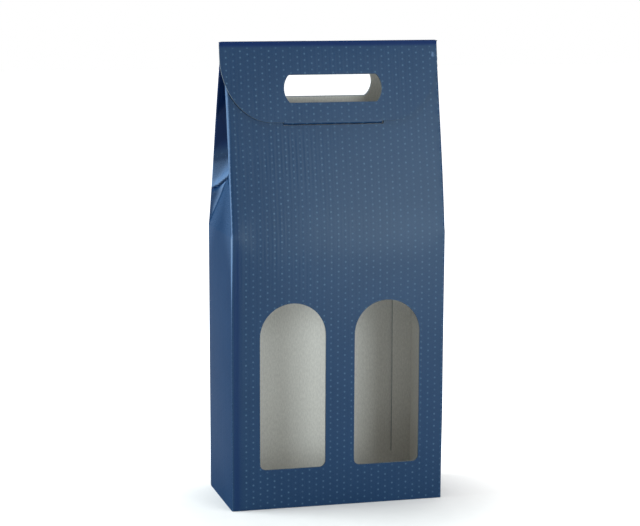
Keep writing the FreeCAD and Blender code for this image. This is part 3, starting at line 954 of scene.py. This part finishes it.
def fold_panels(folding, gable, blank, high):
    """The leaning front and back panels above the shoulder."""
    half_x = gable.half_width
    top = gable.front_top
    front_v = gable.front_v(top)
    left = folding.corner((blank.front, front_v), (-half_x, gable.front_y(top), top))
    right = folding.corner((blank.right, front_v), (half_x, gable.front_y(top), top))
    folding.facet(high[2], high[3], right, left)
    ridge_z = HINGE.z + gable.board / 2 * math.sin(gable.back_lean)
    ridge_y = HINGE.y + gable.board / 2 * math.cos(gable.back_lean)
    raw = folding.corner((blank.back, gable.back_ridge), (half_x, ridge_y, ridge_z))
    far = folding.corner((blank.left, gable.back_ridge), (-half_x, ridge_y, ridge_z))
    folding.facet(high[0], high[1], far, raw)


def carton_folding(gable, sizes, blank):
    """The folded carton, and the creases of its left and right gussets."""
    folding = Folding()
    high = fold_walls(folding, gable, blank)
    fold_bottom(folding, gable, blank)
    fold_panels(folding, gable, blank, high)
    left = fold_gusset(folding, gable, sizes, -1, blank, (high[2], high[1]))
    right = fold_gusset(folding, gable, sizes, 1, blank, (high[3], high[4]))
    return folding, left, right


def carton_outline(gable, blank, bottom):
    """The cut edge of the blank, counterclockwise from the back wall's raw edge at the base."""
    near = gable.half_depth - bottom.seam_offset - bottom.seam_gap / 2
    far = gable.half_depth + bottom.seam_offset - bottom.seam_gap / 2
    points = []
    for start, end in ((blank.back, blank.left), (blank.front, blank.right)):
        middle = (start + end) / 2
        first, second = start + bottom.side_room, end - bottom.side_room
        points += [(start, 0.0), (first, 0.0), (first, -far), (middle - bottom.seam_slope, -far)]
        points += [(middle + bottom.seam_slope, -near), (second, -near), (second, 0.0), (end, 0.0)]
    top = gable.front_top
    low, high = bottom.tab_inset, gable.shoulder - bottom.tab_inset
    points += [(blank.tab, 0.0), (blank.tab, low), (blank.end, low + bottom.tab_slope)]
    points += [(blank.end, high - bottom.tab_slope), (blank.tab, high)]
    points += [(blank.tab, gable.back_v(top)), (blank.right, gable.front_v(top))]
    points += [(blank.front, gable.front_v(top)), (blank.left, gable.back_v(top))]
    points += [(blank.left, gable.back_ridge), (blank.back, gable.back_ridge)]
    return points


def carton_holes(gable, blank, sizes, opening, flap):
    """Outlines of the windows, the hand holes and the slit."""
    front_middle = (blank.front + blank.right) / 2
    back_middle = (blank.back + blank.left) / 2
    windows_middle = front_middle + opening.window_shift
    half_spacing = opening.window_spacing / 2
    holes = [window_outline(windows_middle + side * half_spacing, opening) for side in (-1, 1)]
    drop = opening.hole_drop + opening.hole_height / 2
    holes.append(hand_hole_outline((front_middle, gable.front_ridge - drop), opening))
    back_middle += opening.back_hole_shift
    holes.append(hand_hole_outline((back_middle, gable.back_ridge - drop), opening))
    line = gable.front_ridge - flap.length - flap.tongue_bend - gable.board / 2
    half = flap.tongue_width / 2 + opening.slit_play
    low = line - gable.board / 2 - opening.slit_below
    high = line + gable.board / 2 + opening.slit_above
    slit_middle = front_middle + flap.tongue_shift - sizes.flap_sway
    left, right = slit_middle - half, slit_middle + half
    holes.append([(left, low), (right, low), (right, high), (left, high)])
    return holes


def carton_grids(gable, sizes, blank):
    """Mesh rows of the blank: close ones at the creases and over the gussets."""
    step = sizes.mesh_step
    near = 2.2 * sizes.fold_radius
    plies = 2 * sizes.board
    left_folds = [blank.left, blank.left + plies, blank.front - plies, blank.front]
    right_folds = [blank.right, blank.right + plies, blank.tab]
    rows_v = lines_between(-sizes.depth, gable.back_ridge, step, [0.0, gable.shoulder], near)
    rows_u = lines_between(blank.back, blank.end, step, left_folds + right_folds, near)
    middles = [(blank.left + blank.front) / 2, (blank.right + blank.tab) / 2]
    low = gable.shoulder - near
    gusset_v = lines_between(low, gable.back_ridge, sizes.gusset_step, [gable.shoulder], near)
    plain_u = [u for u in rows_u if u < blank.left or blank.front < u < blank.right or u > blank.tab]
    side_u = [u for u in rows_u if u not in plain_u]
    low_v = [v for v in rows_v if v < low]
    grids = [(plain_u, rows_v), (side_u, low_v)]
    for (start, end), middle, folds in (
        ((blank.left, blank.front), middles[0], left_folds),
        ((blank.right, blank.tab), middles[1], right_folds),
    ):
        grids.append((lines_between(start, end, sizes.gusset_step, [*folds, middle], near), gusset_v))
    return grids


def wrinkle_line(crease, wear):
    """The wrinkle on the blank: its start at the ply's edge, its elbow and its end at the meeting."""
    start, end = np.array(crease[0]), np.array(crease[1])
    elbow = start + (end - start) * wear.elbow_share - np.array([0.0, wear.elbow_drop])
    return start, elbow, end


def patch_above_wrinkle(flat, crease, wear):
    """Height above the wrinkle, and the painted light there: a painted highlight just above it, then
    painted shade higher up and in the groove.
    """
    start, elbow, end = wrinkle_line(crease, wear)
    near = np.minimum(segment_distance(flat, start, elbow), segment_distance(flat, elbow, end))
    line_v = np.interp(flat[:, 0], [start[0], elbow[0], end[0]], [start[1], elbow[1], end[1]])
    above = flat[:, 1] - line_v
    start_fade, end_fade = (-0.002, 0.001), (0.012, 0.002)
    pale_foot, pale_fade, top_full = 0.002, 0.014, 0.044
    across = rise(flat[:, 0] - start[0], *start_fade) * rise(flat[:, 0] - end[0], *end_fade)
    # Painted highlight above the wrinkle, less higher up; painted shade higher still and in the groove.
    fading = wear.painted_highlight - wear.pale_loss * np.clip(above / wear.pale_height, 0, 1)
    pale = fading * rise(above, 0, pale_foot) * rise(above, wear.pale_end, wear.pale_end - pale_fade)
    thick = wear.top_painted_shade * rise(above, wear.pale_height, top_full)
    return above, across * (pale - thick - bell(near, wear.groove_painted_shade))


def gusset_painted_light(flat, crease, diagonal, wear):
    """Painted light of the left gusset: painted highlight and shade round the wrinkle, painted highlight
    along the diagonal and on the facet below it, and painted shade at the diagonal's foot.
    """
    above, worn = patch_above_wrinkle(flat, crease, wear)
    foot, top = np.array(diagonal[0]), np.array(diagonal[1])
    half, height = top - foot
    from_foot = flat[:, 0] - foot[0]
    share = np.clip(from_foot / half, 0, 1)
    over = flat[:, 1] - foot[1] - height * share
    # Painted highlight along the diagonal and on the facet below it, painted shade at the diagonal's foot.
    between_folds = rise(over, 0, wear.soft_edge) * rise(-above, 0, wear.soft_edge) * (share < 1)
    foot_share = 0.25
    rubbed = wear.diagonal_highlight + wear.diagonal_gain * share**3
    bright = rubbed * bell(over, wear.diagonal_reach) * rise(share, 0, foot_share)
    shaded = wear.corner_painted_shade * bell(from_foot, wear.corner_width)
    from_top = np.abs(flat[:, 0] - top[0])
    under = foot[1] + height * np.clip(1 - from_top / half, 0, 1) - flat[:, 1]
    on_facet = (from_top < half) * rise(under, 0, wear.soft_edge)
    facet = wear.facet_highlight * on_facet * rise(under, wear.facet_reach * height, 0)
    return worn + facet + between_folds * (bright - shaded)


def carton_wear(flat, blank, gusset, wear):
    """How rubbed the print is: up to one at worn folds; above zero it is also painted highlight in the left
    gusset and along the front left fold, below zero painted shade.
    """
    u, v = flat.T
    from_front = u - blank.front
    front_edge = 0.0002
    more_from, more_to = 0.16, 0.24
    band_fade, wide_fade = (0.315, 0.265), (0.26, 0.2)
    worn = wear.base_wear * bell(v, wear.base_width)
    for name, (strength, width) in FOLD_WEAR.items():
        fold = getattr(blank, name)
        # The front left fold is rubbed fully higher up: partly rubbed ink, partly a painted highlight along
        # that rounded fold.
        if name == "front":
            fold = fold + front_edge
            strength = strength + (1 - strength) * rise(v, more_from, more_to)
        worn = np.maximum(worn, strength * bell(u - fold, width))
    # Painted shade in a narrow and a wide band beside the front left fold, below the gable.
    band = wear.band_painted_shade * bell(from_front - wear.band_place, wear.band_width) * rise(v, *band_fade)
    wide = wear.wide_painted_shade * bell(from_front - wear.wide_place, wear.wide_width) * rise(v, *wide_fade)
    return worn - band - wide + gusset_painted_light(flat, gusset["wrinkle"], gusset["back_diagonal"], wear)


def bend_radii(flat, in_ply, creases, sizes, gable, blank):
    """How far the bend at each point spreads along u and along v."""
    u, v = flat.T
    room = np.min([segment_distance(flat, *crease) for crease in creases], axis=0)
    soft = np.clip(room * sizes.soft_share, sizes.fold_radius, sizes.soft_bend)
    in_gusset = in_ply & (v > gable.shoulder + sizes.gusset_rise * sizes.soft_from)
    radius = np.where(in_gusset, soft, sizes.fold_radius)
    on_front = rise(np.minimum(u - blank.front, blank.right - u), 0, sizes.shoulder_fade)
    spread = sizes.fold_radius + (sizes.shoulder_spread - sizes.fold_radius) * on_front
    near_shoulder = np.abs(v - gable.shoulder) < sizes.shoulder_room
    return radius, np.where(near_shoulder, spread, radius)


def ply_thickness(flat, edges, sizes):
    """The board's thickness in a gusset, pressed thin at the plies' folded edges."""
    pressed_room, thinnest = 0.005, 0.2
    room = np.min([segment_distance(flat, *edge) for edge in edges], axis=0)
    return sizes.board * np.clip(room / pressed_room, thinnest, 1)


def make_carton(context):
    """The whole sheet but for the pieces that lie in the bottom and the closing flap."""
    scene = context.scene
    sizes, opening, flap = scene.carton_sizes, scene.carton_openings, scene.carton_flap
    wear, finish = scene.carton_wear, scene.carton_print
    gable = Gable(sizes, flap)
    blank = Blank(sizes)
    outline = carton_outline(gable, blank, scene.carton_bottom)
    holes = carton_holes(gable, blank, sizes, opening, flap)
    flat, triangles = triangulated(outline, holes, carton_grids(gable, sizes, blank), sizes.mesh_step)
    folding, left, right = carton_folding(gable, sizes, blank)
    on_left = (flat[:, 0] > blank.left) & (flat[:, 0] < blank.front)
    on_right = (flat[:, 0] > blank.right) & (flat[:, 0] < blank.tab)
    in_ply = on_left | on_right
    creases = [*left.values(), *right.values()]
    outer = softly_folded(folding, flat, *bend_radii(flat, in_ply, creases, sizes, gable, blank))
    outer = wrinkled(outer, flat, triangles, left["wrinkle"], wear)
    outer = swayed(bowed(outer, flat, sizes, gable, blank), sizes, gable)
    high = flat[:, 1] > gable.shoulder
    edges = [gusset[name] for gusset in (left, right) for name in ("front_ply", "back_ply")]
    thickness = np.where(in_ply & high, ply_thickness(flat, edges, sizes), sizes.board)
    dotted = np.where(in_ply, np.where(high, finish.gusset_dots, finish.side_dots), 1.0)
    # Rubbed ink at the folds and base, with painted highlight and painted shade in the left gusset and
    # beside the front left fold.
    worn = carton_wear(flat, blank, left, wear)
    piece = board_object("carton_sheet", flat, triangles, outer, thickness, worn, dotted)
    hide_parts("carton")
    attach(piece, "carton")


# The carton's bottom


def bottom_board(name, outline, sizes):
    """A flat piece of the bottom, lying inside on the front and back flaps, its printed side down."""
    flat, triangles = triangulated([(x, -y) for x, y in reversed(outline)], [], [], sizes.mesh_step)
    height = np.full(len(flat), sizes.board)
    outer = np.stack([flat[:, 0], -flat[:, 1], height], axis=1)
    piece = board_object(name, flat, triangles, outer, sizes.board)
    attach(piece, "carton")


def make_bottom_flaps(context):
    """The side walls' bottom flaps and the back flap's hook over the seam."""
    scene = context.scene
    sizes, bottom = scene.carton_sizes, scene.carton_bottom
    wall_x = sizes.width / 2 - sizes.board
    half_y = sizes.depth / 2 - sizes.board
    tip = sizes.width / 2 - bottom.side_length
    cut = wall_x - bottom.side_cut
    inner = half_y - bottom.side_cut
    right = [(tip, -inner), (cut, -half_y), (wall_x, -half_y)]
    right += [(x, -y) for x, y in reversed(right)]
    left = [(-x, -y) for x, y in right]
    bottom_board("right_bottom_flap", right, sizes)
    bottom_board("left_bottom_flap", left, sizes)
    half = bottom.hook_width / 2
    back = bottom.seam_offset
    front = back - bottom.hook_length
    slope = half / 2
    hook = [(-half, back), (-half, front + slope), (-slope, front)]
    hook += [(-x, y) for x, y in reversed(hook)]
    bottom_board("bottom_hook", hook, sizes)


# The closing flap


def flap_place(points, gable, flap):
    """Outer side of the flap: round the crease, down over the front panel, and in at the tongue."""
    half = gable.board / 2
    x, s = points[:, 0], -points[:, 1]
    bend = flap.tongue_bend + gable.board
    bend_length = bend * math.pi / 2
    round_crease = np.minimum(s, 0) / half
    along = np.clip(s, 0, flap.length)
    into_bend = np.clip(s - flap.length, 0, bend_length) / bend
    past_bend = np.maximum(s - flap.length - bend_length, 0)
    down = along + half * np.sin(round_crease) + bend * np.sin(into_bend)
    out = half * np.cos(round_crease) - bend * (1 - np.cos(into_bend)) - past_bend
    along_y, along_z = math.sin(gable.front_lean), math.cos(gable.front_lean)
    y = HINGE.y - down * along_y - out * along_z
    z = HINGE.z - down * along_z + out * along_y
    return np.stack([x, y, z], axis=1)


def flap_outline(gable, flap):
    """Counterclockwise from the crease's left end: side, curve, foot and tongue."""
    half = gable.half_width + flap.overhang
    crease = gable.board / 2 * (math.pi - gable.front_lean - gable.back_lean)
    curve_height = flap.length - flap.side_length
    centre_x = half - flap.curve_width
    right = []
    for turn in np.linspace(0, math.pi / 2, 28):
        x = centre_x + flap.curve_width * math.cos(turn)
        right.append((x, -flap.side_length - curve_height * math.sin(turn)))
    tongue_half = flap.tongue_width / 2
    bend_length = (flap.tongue_bend + gable.board) * math.pi / 2
    tip = flap.length + bend_length + flap.tongue_reach - flap.tongue_bend
    corner = flap.tongue_corner
    tongue = [(tongue_half, -flap.length)]
    tongue += arc((tongue_half - corner, -tip + corner), corner, 0, -90, 5)
    left = [(-x, y) for x, y in right] + [(flap.tongue_shift - x, y) for x, y in tongue]
    right += [(flap.tongue_shift + x, y) for x, y in tongue]
    return [(-half, crease), *left, *reversed(right), (half, crease)]


def make_flap(context):
    """The closing flap, over the front panel, with its tongue in the slit."""
    scene = context.scene
    sizes, opening, flap = scene.carton_sizes, scene.carton_openings, scene.carton_flap
    gable = Gable(sizes, flap)
    hole_drop = opening.hole_drop + opening.hole_height / 2
    hole = hand_hole_outline((opening.flap_hole_shift, -hole_drop), opening)
    bend_length = (flap.tongue_bend + gable.board) * math.pi / 2
    tip = flap.length + bend_length + flap.tongue_reach
    half = gable.half_width + flap.overhang
    step = sizes.mesh_step / 2
    bend_spread, bend_step = 0.0024, 0.0004
    bends = [0.0, -flap.length - bend_length / 2]
    rows_v = lines_between(-tip, gable.board * 1.5, step, bends, bend_spread, bend_step)
    rows_u = lines_between(-half, half, step)
    flat, triangles = triangulated(flap_outline(gable, flap), [hole], [(rows_u, rows_v)], step)
    outer = flap_place(flat, gable, flap)
    x, s = flat[:, 0], -flat[:, 1]
    lift = flap.lift * rise(np.abs(x) / half, flap.lift_from, 1) * np.clip(s / flap.length, 0, 1) ** 1.5
    outer[:, 1] -= lift * math.cos(gable.front_lean)
    outer[:, 2] += lift * math.sin(gable.front_lean)
    crease_room = 0.01
    outer[:, 1] -= belly_depth(outer[:, 0], outer[:, 2], sizes) * rise(s, 0, crease_room)
    outer[:, 0] -= sizes.flap_sway
    scuff = bell(x - flap.scuff_across, flap.scuff_width) * bell(s - flap.scuff_below, flap.scuff_height)
    # The scuff is rubbed ink; the darker band below the crease is painted shade.
    worn = flap.scuff_wear * scuff - flap.band_painted_shade * bell(s - flap.band_place, flap.band_width)
    piece = board_object("closing_flap_sheet", flat, triangles, outer, sizes.board, worn)
    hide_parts("closing_flap")
    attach(piece, "closing_flap")


# Stage


def is_seen(recipe):
    """One for rays that show a surface straight, in a gloss or through glass, zero for its light."""
    path = recipe.node("ShaderNodeLightPath")
    glossy = recipe.maths("MAXIMUM", path.outputs["Is Glossy Ray"], path.outputs["Is Transmission Ray"])
    return recipe.maths("MAXIMUM", path.outputs["Is Camera Ray"], glossy)


def floor_material(stage):
    """Pale paper that takes the carton's shadow, and glows white to the eye away from it; just in front of
    the carton's base it glows least, a painted shade round the real shadow.
    """
    recipe = Recipe("pale_floor")
    paper = recipe.node("ShaderNodeNewGeometry").outputs["Position"]
    grain = recipe.noise(paper, 60.0, 2.0)
    shade = recipe.mix(grain, (0.64, 0.64, 0.635, 1), (0.68, 0.68, 0.675, 1))
    plain = recipe.node("ShaderNodeBsdfPrincipled", {"Base Color": shade, "Roughness": 0.9})
    glow = recipe.node("ShaderNodeEmission", {"Color": (1, 1, 1, 1)})
    # The glow is lowest just in front of the carton's base: painted shade there with the real shadow.
    away = recipe.node("ShaderNodeVectorMath", {0: paper, 1: stage.shade_place}, operation="DISTANCE")
    reach = (stage.shade_near, stage.shade_far)
    white = recipe.ramp(away.outputs["Value"], *reach, stage.near_glow, stage.far_glow)
    recipe.tree.links.new(recipe.times(is_seen(recipe), white), glow.inputs["Strength"])
    both = recipe.node("ShaderNodeAddShader", {0: plain.outputs[0], 1: glow.outputs[0]})
    return recipe.finish(both.outputs[0])


def make_floor(stage):
    """One wide sheet of pale paper under the carton."""
    half = stage.floor_size / 2
    mesh = bpy.data.meshes.new("floor")
    corners = [(-half, -half, 0), (half, -half, 0), (half, half, 0), (-half, half, 0)]
    mesh.from_pydata(corners, [], [(0, 1, 2, 3)])
    mesh.materials.append(floor_material(stage))
    floor = bpy.data.objects.new("floor", mesh)
    bpy.context.scene.collection.objects.link(floor)


def make_world(stage):
    """Even light all round, and plain white where it is seen."""
    world = bpy.data.worlds.new("studio")
    bpy.context.scene.world = world
    world.use_nodes = True
    tree = world.node_tree
    tree.nodes.clear()
    output = tree.nodes.new("ShaderNodeOutputWorld")
    background = tree.nodes.new("ShaderNodeBackground")
    path = tree.nodes.new("ShaderNodeLightPath")
    strength = tree.nodes.new("ShaderNodeMapRange")
    seen = [path.outputs[name] for name in ("Is Camera Ray", "Is Glossy Ray", "Is Transmission Ray")]
    value = seen[0]
    for other in seen[1:]:
        larger = tree.nodes.new("ShaderNodeMath")
        larger.operation = "MAXIMUM"
        tree.links.new(value, larger.inputs[0])
        tree.links.new(other, larger.inputs[1])
        value = larger.outputs[0]
    tree.links.new(value, strength.inputs["Value"])
    strength.inputs["To Min"].default_value = stage.sky
    strength.inputs["To Max"].default_value = 1.0
    background.inputs["Color"].default_value = (1, 1, 1, 1)
    tree.links.new(strength.outputs["Result"], background.inputs["Strength"])
    tree.links.new(background.outputs[0], output.inputs["Surface"])


def softbox(name, place, target, size, power):
    """A rectangular lamp at a place, aimed at a target."""
    lamp = bpy.data.lights.new(name, "AREA")
    lamp.shape = "RECTANGLE"
    lamp.size, lamp.size_y = size
    lamp.energy = power
    holder = bpy.data.objects.new(name, lamp)
    holder.location = place
    holder.rotation_mode = "QUATERNION"
    holder.rotation_quaternion = (Vector(target) - Vector(place)).to_track_quat("-Z", "Y")
    bpy.context.scene.collection.objects.link(holder)
    return lamp


def make_softboxes(stage):
    """The large softbox at the left, the one that the front's gloss shows, and the wide one overhead."""
    middle = (0.0, 0.0, HINGE.z / 2)
    key_size = (stage.key_size, stage.key_size)
    gloss_size = (stage.gloss_size, stage.gloss_height)
    top_size = (stage.top_size, stage.top_size)
    key = softbox("left_softbox", stage.key_place, middle, key_size, stage.key_power)
    gloss = softbox("right_softbox", stage.gloss_place, stage.gloss_aim, gloss_size, stage.gloss_power)
    softbox("top_softbox", stage.top_place, middle, top_size, stage.top_power)
    key.color = stage.key_tint
    gloss.color = stage.gloss_tint


def make_camera(stage):
    """The camera at the photo's view."""
    camera = bpy.data.cameras.new("camera")
    camera.lens = stage.lens
    camera.sensor_width = 36.0
    holder = bpy.data.objects.new("camera", camera)
    holder.location = stage.camera_place
    holder.rotation_euler = Euler((math.pi / 2 - stage.camera_pitch, 0, -stage.camera_yaw))
    bpy.context.scene.collection.objects.link(holder)
    bpy.context.scene.camera = holder


# Operators


class CARTON_OT_sheet(bpy.types.Operator):
    """Fold the carton's sheet: walls, gable top, gussets and bottom"""

    bl_idname = "carton.sheet"
    bl_label = "Carton sheet"

    def execute(self, context):
        make_carton(context)
        return {"FINISHED"}


class CARTON_OT_bottom_flaps(bpy.types.Operator):
    """Make the side walls' bottom flaps and the hook over the seam"""

    bl_idname = "carton.bottom_flaps"
    bl_label = "Bottom flaps"

    def execute(self, context):
        make_bottom_flaps(context)
        return {"FINISHED"}


class CARTON_OT_closing_flap(bpy.types.Operator):
    """Make the closing flap with its hand hole and tongue"""

    bl_idname = "carton.closing_flap"
    bl_label = "Closing flap"

    def execute(self, context):
        make_flap(context)
        return {"FINISHED"}


class CARTON_OT_stage(bpy.types.Operator):
    """Make the floor, the light and the camera"""

    bl_idname = "carton.stage"
    bl_label = "Stage"

    def execute(self, context):
        scene = context.scene
        stage = scene.carton_stage
        scene.view_settings.view_transform = "Standard"
        make_floor(stage)
        make_world(stage)
        make_softboxes(stage)
        make_camera(stage)
        return {"FINISHED"}


class CARTON_PT_panel(bpy.types.Panel):
    """Lists the carton's pieces"""

    bl_idname = "CARTON_PT_panel"
    bl_label = "Carton"
    bl_space_type = "VIEW_3D"
    bl_region_type = "UI"
    bl_category = "Carton"

    def draw(self, context):
        for operator in OPERATORS:
            self.layout.operator(operator.bl_idname)


GROUPS = {
    "carton_sizes": CartonSizes,
    "carton_openings": OpeningSizes,
    "carton_bottom": BottomSizes,
    "carton_flap": FlapSizes,
    "carton_wear": WearAndPaintedLightSizes,
    "carton_print": PrintFinish,
    "carton_stage": StageSettings,
}
OPERATORS = (CARTON_OT_sheet, CARTON_OT_bottom_flaps, CARTON_OT_closing_flap, CARTON_OT_stage)


def register():
    for name, group in GROUPS.items():
        bpy.utils.register_class(group)
        setattr(bpy.types.Scene, name, PointerProperty(type=group))
    for operator in OPERATORS:
        bpy.utils.register_class(operator)
    bpy.utils.register_class(CARTON_PT_panel)


def unregister():
    bpy.utils.unregister_class(CARTON_PT_panel)
    for operator in reversed(OPERATORS):
        bpy.utils.unregister_class(operator)
    for name, group in reversed(GROUPS.items()):
        delattr(bpy.types.Scene, name)
        bpy.utils.unregister_class(group)


def main():
    register()
    bpy.ops.carton.stage()
    bpy.ops.carton.sheet()
    bpy.ops.carton.bottom_flaps()
    bpy.ops.carton.closing_flap()


if __name__ == "__main__":
    main()
